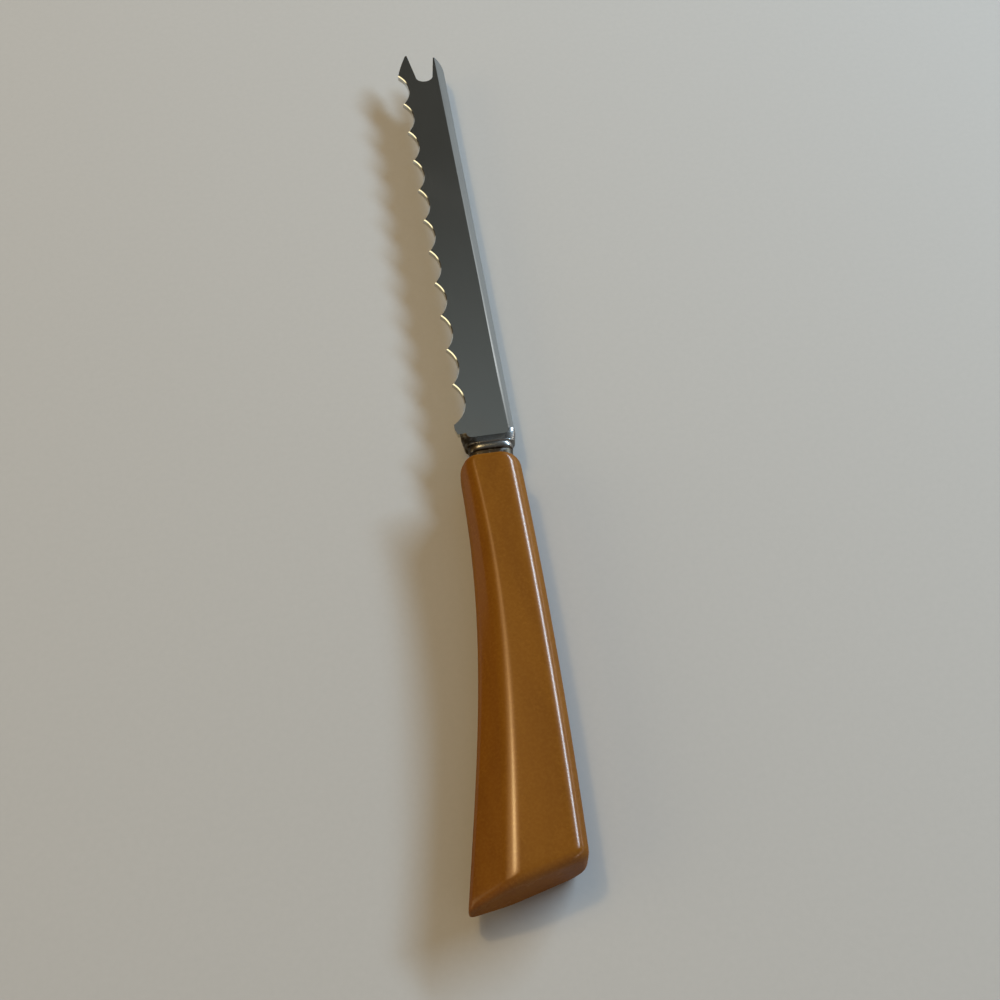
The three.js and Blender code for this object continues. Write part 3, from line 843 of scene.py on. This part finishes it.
class Nodes:
    """The nodes of one material or world."""

    def __init__(self, owner):
        owner.use_nodes = True
        self.tree = owner.node_tree
        self.tree.nodes.clear()

    def add(self, kind, settings, sockets, output=0):
        """Adds a node, sets it, fills or links its sockets and gives one of its outputs."""
        node = self.tree.nodes.new(kind)
        for name, value in settings.items():
            setattr(node, name, value)
        for name, value in sockets.items():
            if isinstance(value, Wire):
                self.tree.links.new(value.socket, node.inputs[name])
            else:
                node.inputs[name].default_value = value
        return Wire(self, node.outputs[output]) if len(node.outputs) else None

    def place(self, kind):
        """Coordinates of one kind."""
        return self.add("ShaderNodeTexCoord", {}, {}, kind)

    def axis(self, vector, name):
        """One coordinate of a vector."""
        return self.add("ShaderNodeSeparateXYZ", {}, {"Vector": vector}, name)

    def noise(self, scale, detail=3, distortion=0.0):
        """Cloudy noise, finer where the scale is larger."""
        stretched = self.add("ShaderNodeMapping", {},
                             {"Vector": self.place("Object"), "Scale": scale})
        return self.add("ShaderNodeTexNoise", {}, {"Vector": stretched, "Scale": 1.0,
                                                   "Detail": detail, "Distortion": distortion})

    def band(self, value, low, high):
        """0 below a value, 1 above another, and smooth between them."""
        return self.add("ShaderNodeMapRange", {"interpolation_type": "SMOOTHSTEP"},
                        {"Value": value, "From Min": low, "From Max": high})

    def mix(self, factor, first, second):
        """A colour between two colours."""
        tones = [tone if isinstance(tone, Wire) else (*tone, 1) for tone in (first, second)]
        return self.add("ShaderNodeMix", {"data_type": "RGBA"},
                        {MIX_FACTOR: factor, MIX_FIRST: tones[0], MIX_SECOND: tones[1]}, MIX_RESULT)

    def bump(self, height, strength, distance):
        """A relief that tilts the surface."""
        return self.add("ShaderNodeBump", {}, {"Height": height, "Strength": strength,
                                               "Distance": distance})

    def surface(self, sockets):
        """The surface shader and the material's output."""
        shader = self.add("ShaderNodeBsdfPrincipled", {}, sockets, "BSDF")
        self.add("ShaderNodeOutputMaterial", {}, {"Surface": shader})


def new_finish(name):
    """An empty material and its nodes."""
    material = bpy.data.materials.new(name)
    return material, Nodes(material)


def blade_steel(finishes):
    """Polished steel with fine grinding lines along the blade and handled patches."""
    material, nodes = new_finish("ground_blade_steel")
    lines = nodes.noise((5200, 70, 5200), 4)
    scratches = nodes.band(nodes.noise((2600, 24, 2600), 2), 0.64, 0.74)
    patches = nodes.band(nodes.noise((70, 45, 70), 5), 0.42, 0.72)
    tone = nodes.mix(patches * 0.6 + lines * 0.25, finishes.steel, finishes.steel_stain)
    nodes.surface({
        "Base Color": tone,
        "Metallic": 1.0,
        "Roughness": 0.08 + lines * 0.05 + patches * 0.04 + scratches * 0.02,
        "Normal": nodes.bump(lines + scratches * 0.2, 0.05, 0.02 * MM),
    })
    return material


def bolster_steel(settings):
    """Turned steel, dulled with age, with painted shade and dirt on the belly side and in the
    groove.
    """
    finishes, sizes = settings.finishes, settings.bolster
    material, nodes = new_finish("dulled_bolster_steel")
    place = nodes.place("Object")
    across, along = nodes.axis(place, "X"), nodes.axis(place, "Y")
    # Painted shade: the belly side, away from the window, and the groove behind the ring are
    # darkened, broken up by grime like dirt
    belly = nodes.band(-1 * across, 0.40 * sizes.crest_width, 0.64 * sizes.crest_width)
    ring_back = crest_place(settings) - sizes.ring_length
    groove = 1 - nodes.band(along, ring_back, ring_back + 0.4 * sizes.ring_length)
    dirt_and_shade_mask = belly + groove - belly * groove
    grime = nodes.noise((900, 900, 900), 5)
    patches = nodes.band(nodes.noise((240, 240, 240), 4), 0.4, 0.7)
    lines = nodes.noise((300, 4000, 300), 3)
    tone = nodes.mix(patches * 0.5 + grime * 0.4, finishes.tarnish, finishes.tarnish_dark)
    nodes.surface({
        "Base Color": nodes.mix(dirt_and_shade_mask * nodes.band(grime, 0.2, 0.5), tone, finishes.dirt_and_shade),
        "Metallic": 1.0,
        "Roughness": 0.17 + lines * 0.05 + grime * 0.10 + dirt_and_shade_mask * 0.15,
        "Normal": nodes.bump(lines + grime * 0.5, 0.10, 0.02 * MM),
    })
    return material


def handle_resin(finishes):
    """Glossy butterscotch cast resin with slow flow lines and specks."""
    material, nodes = new_finish("butterscotch_resin")
    flow = nodes.noise((90, 22, 90), 5, 1.4)
    cloud = nodes.noise((34, 18, 34), 3, 0.6)
    specks = nodes.noise((1900, 1900, 1900), 2)
    swirl = nodes.band(flow * 0.6 + cloud * 0.4, 0.36, 0.66)
    tone = nodes.mix(swirl, finishes.resin, finishes.resin_dark)
    fine = nodes.mix(nodes.band(specks, 0.35, 0.75) * 0.22, tone, finishes.resin_pale)
    handled = nodes.noise((160, 60, 160), 4)
    # The coat gives the gloss, and a trace of metal gives a warm sheen
    nodes.surface({
        "Base Color": fine,
        "Specular IOR Level": 0.0,
        "Metallic": 0.06,
        "Roughness": 0.22 + nodes.band(handled, 0.4, 0.75) * 0.08 + specks * 0.06,
        "Coat Weight": 0.20,
        "Coat IOR": 2.0,
        "Coat Roughness": 0.2,
        "Normal": nodes.bump(specks + handled * 2.0, 0.06, 0.03 * MM),
    })
    return material


def tang_cement(finishes):
    """Dull gritty cement."""
    material, nodes = new_finish("gritty_cement")
    grit = nodes.noise((1400, 1400, 1400), 5)
    nodes.surface({
        "Base Color": nodes.mix(nodes.band(grit, 0.4, 0.65), finishes.cement, finishes.cement_dark),
        "Roughness": 0.8 + grit * 0.15,
        "Normal": nodes.bump(grit, 0.4, 0.1 * MM),
    })
    return material


def floor_finish(stage):
    """Plain pale painted board."""
    material, nodes = new_finish("pale_floor")
    tone = tuple(stage.floor)
    shade = tuple(FLOOR_SHADE * part for part in tone)
    nodes.surface({
        "Base Color": nodes.mix(nodes.noise((800, 800, 800), 4), tone, shade),
        "Roughness": 0.75,
        "Specular IOR Level": 0.2,
    })
    return material


# Stage

FLOOR_SIZE = 4
FLOOR_GAP = 0.05 * MM
FLOOR_SHADE = 0.94
SENSOR = 36
CLIP_START = 0.01

# Lamps: direction from the knife, width and height, and tone
LAMP_DISTANCE = 1.2
WINDOW_PLACE, WINDOW_SPREAD, WINDOW_TONE = (0.72, 0.46, 0.52), (0.80, 0.13), (0.57, 0.79, 1.0)
LAMP_PLACE, LAMP_TONE = (-0.29, 0.32, 0.90), (1.0, 0.74, 0.36)
SHADE_SPREAD, BULB_SPREAD = (0.64, 0.50), (0.08, 0.10)

# Tones of the room
LEFT_WALL, RIGHT_WALL = (0.07, 0.05, 0.03), (0.05, 0.052, 0.049)
FAR_WALL, NEAR_WALL = (0.12, 0.13, 0.133), (0.36, 0.32, 0.29)
CEILING, SILL = (0.17, 0.185, 0.185), (7.0, 6.4, 5.8)

# Glows on its walls: direction, nearness at which each starts and is full, and tone
GLOWS = (
    ((-0.923, 0.02, 0.384), 0.905, 0.965, (2.1, 1.75, 1.05)),
    ((0.65, 0.60, 0.45), 0.80, 0.93, (0.33, 0.35, 0.36)),
    ((0.2325, 0.62, 0.748), 0.9955, 0.999, (0.95, 0.97, 0.99)),
)


def make_floor(stage):
    """A plain floor just under the handle."""
    bpy.ops.object.select_all(action="DESELECT")
    bpy.ops.mesh.primitive_plane_add(size=FLOOR_SIZE, location=(0, 0, HANDLE_LOW.z - FLOOR_GAP))
    floor = bpy.context.object
    floor.name = floor.data.name = "floor"
    bpy.ops.object.transform_apply(location=True, rotation=True, scale=True)
    floor.data.materials.append(floor_finish(stage))


def make_lamp(name, direction, spread, power, tone):
    """A soft rectangular lamp that faces the knife."""
    heading = Vector(direction).normalized()
    bpy.ops.object.light_add(type="AREA", location=heading * LAMP_DISTANCE)
    lamp = bpy.context.object
    lamp.name = lamp.data.name = name
    lamp.rotation_euler = heading.to_track_quat("Z", "Y").to_euler()
    lamp.data.shape = "RECTANGLE"
    lamp.data.size, lamp.data.size_y = spread
    lamp.data.energy = power
    lamp.data.color = tone


def make_world():
    """A dim room, brown on the left, lighter overhead and behind the camera, with a few glows."""
    world = bpy.data.worlds.new("quiet_room")
    bpy.context.scene.world = world
    nodes = Nodes(world)
    direction = nodes.place("Generated")
    across, far, height = (nodes.axis(direction, name) for name in "XYZ")
    low_band = 1 - nodes.band(height, 0.34, 0.62)
    far_band = nodes.band(far, 0.2, 0.6) * nodes.band(across, -0.4, -0.05) * low_band
    sill_band = nodes.band(height, 0.02, 0.04) * (1 - nodes.band(height, 0.08, 0.11))
    room = nodes.mix(nodes.band(across, -0.45, 0.3), LEFT_WALL, RIGHT_WALL)
    room = nodes.mix(far_band, room, FAR_WALL)
    room = nodes.mix(nodes.band(height, 0.70, 0.92), room, CEILING)
    room = nodes.mix(nodes.band(-1 * far, 0.0, 0.5), room, NEAR_WALL)
    for heading, start, full, tone in GLOWS:
        nearness = nodes.add("ShaderNodeVectorMath", {"operation": "DOT_PRODUCT"},
                             {0: direction, 1: Vector(heading).normalized()}, "Value")
        room = nodes.mix(nodes.band(nearness, start, full), room, tone)
    room = nodes.mix(nodes.band(across, 0.5, 0.7) * sill_band, room, SILL)
    background = nodes.add("ShaderNodeBackground", {}, {"Color": room, "Strength": 1.0})
    nodes.add("ShaderNodeOutputWorld", {}, {"Surface": background})


def make_camera(stage):
    """The photograph's view: tilted from overhead, looking up the knife."""
    target = Vector((0, stage.target, MID))
    forward = Vector((math.sin(stage.turn), math.cos(stage.turn), 0))
    back = Vector((0, 0, math.cos(stage.tilt))) - forward * math.sin(stage.tilt)
    bpy.ops.object.camera_add(location=target + back * stage.distance)
    camera = bpy.context.object
    camera.name = camera.data.name = "camera"
    camera.rotation_euler = back.to_track_quat("Z", "Y").to_euler()
    camera.data.sensor_width = SENSOR
    camera.data.lens = stage.lens
    camera.data.clip_start = CLIP_START
    bpy.context.scene.camera = camera


def make_stage(settings):
    """Sets the camera, the floor, the room and the lamps."""
    stage = settings.stage
    make_camera(stage)
    make_floor(stage)
    make_world()
    make_lamp("window", WINDOW_PLACE, WINDOW_SPREAD, stage.window, WINDOW_TONE)
    make_lamp("lamp_shade", LAMP_PLACE, SHADE_SPREAD, stage.lamp, LAMP_TONE)
    make_lamp("bulb", LAMP_PLACE, BULB_SPREAD, stage.bulb, LAMP_TONE)
    bpy.context.scene.view_settings.view_transform = "Standard"


# Add-on

class KNIFE_OT_blade(bpy.types.Operator):
    """Model the scalloped blade with its fork and tang"""
    bl_idname = "cheese_knife.blade"
    bl_label = "Make Blade"

    def execute(self, context):
        make_blade(context.scene.cheese_knife)
        return {"FINISHED"}


class KNIFE_OT_bolster(bpy.types.Operator):
    """Model the ringed bolster between the blade and the handle"""
    bl_idname = "cheese_knife.bolster"
    bl_label = "Make Bolster"

    def execute(self, context):
        make_bolster(context.scene.cheese_knife)
        return {"FINISHED"}


class KNIFE_OT_handle(bpy.types.Operator):
    """Model the flared resin handle with its slanted butt"""
    bl_idname = "cheese_knife.handle"
    bl_label = "Make Handle"

    def execute(self, context):
        make_handle(context.scene.cheese_knife)
        return {"FINISHED"}


class KNIFE_OT_cement(bpy.types.Operator):
    """Give the cement round the tang its finish"""
    bl_idname = "cheese_knife.cement"
    bl_label = "Finish Cement"

    def execute(self, context):
        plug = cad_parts["tang_cement"]
        plug.data.materials.clear()
        plug.data.materials.append(tang_cement(context.scene.cheese_knife.finishes))
        return {"FINISHED"}


class KNIFE_OT_stage(bpy.types.Operator):
    """Set the floor, the room, the lamps and the camera"""
    bl_idname = "cheese_knife.stage"
    bl_label = "Set Stage"

    def execute(self, context):
        make_stage(context.scene.cheese_knife)
        return {"FINISHED"}


class KNIFE_PT_panel(bpy.types.Panel):
    """The knife's pieces and their sizes"""
    bl_idname = "KNIFE_PT_panel"
    bl_label = "Cheese Knife"
    bl_space_type = "VIEW_3D"
    bl_region_type = "UI"
    bl_category = "Cheese Knife"

    def draw(self, context):
        settings = context.scene.cheese_knife
        for operator, group in (("blade", settings.blade), ("bolster", settings.bolster),
                                ("handle", settings.handle), ("cement", settings.finishes),
                                ("stage", settings.stage)):
            box = self.layout.box()
            box.operator("cheese_knife." + operator)
            for name in group.__annotations__:
                box.prop(group, name)


CLASSES = (BladeSizes, BolsterSizes, HandleSizes, Finishes, StageSettings, KnifeSettings,
           KNIFE_OT_blade, KNIFE_OT_bolster, KNIFE_OT_handle, KNIFE_OT_cement, KNIFE_OT_stage,
           KNIFE_PT_panel)


def register():
    for each in CLASSES:
        bpy.utils.register_class(each)
    bpy.types.Scene.cheese_knife = PointerProperty(type=KnifeSettings)


def unregister():
    del bpy.types.Scene.cheese_knife
    for each in reversed(CLASSES):
        bpy.utils.unregister_class(each)


def main():
    register()
    bpy.ops.cheese_knife.stage()
    bpy.ops.cheese_knife.blade()
    bpy.ops.cheese_knife.bolster()
    bpy.ops.cheese_knife.handle()
    bpy.ops.cheese_knife.cement()


if __name__ == "__main__":
    main()
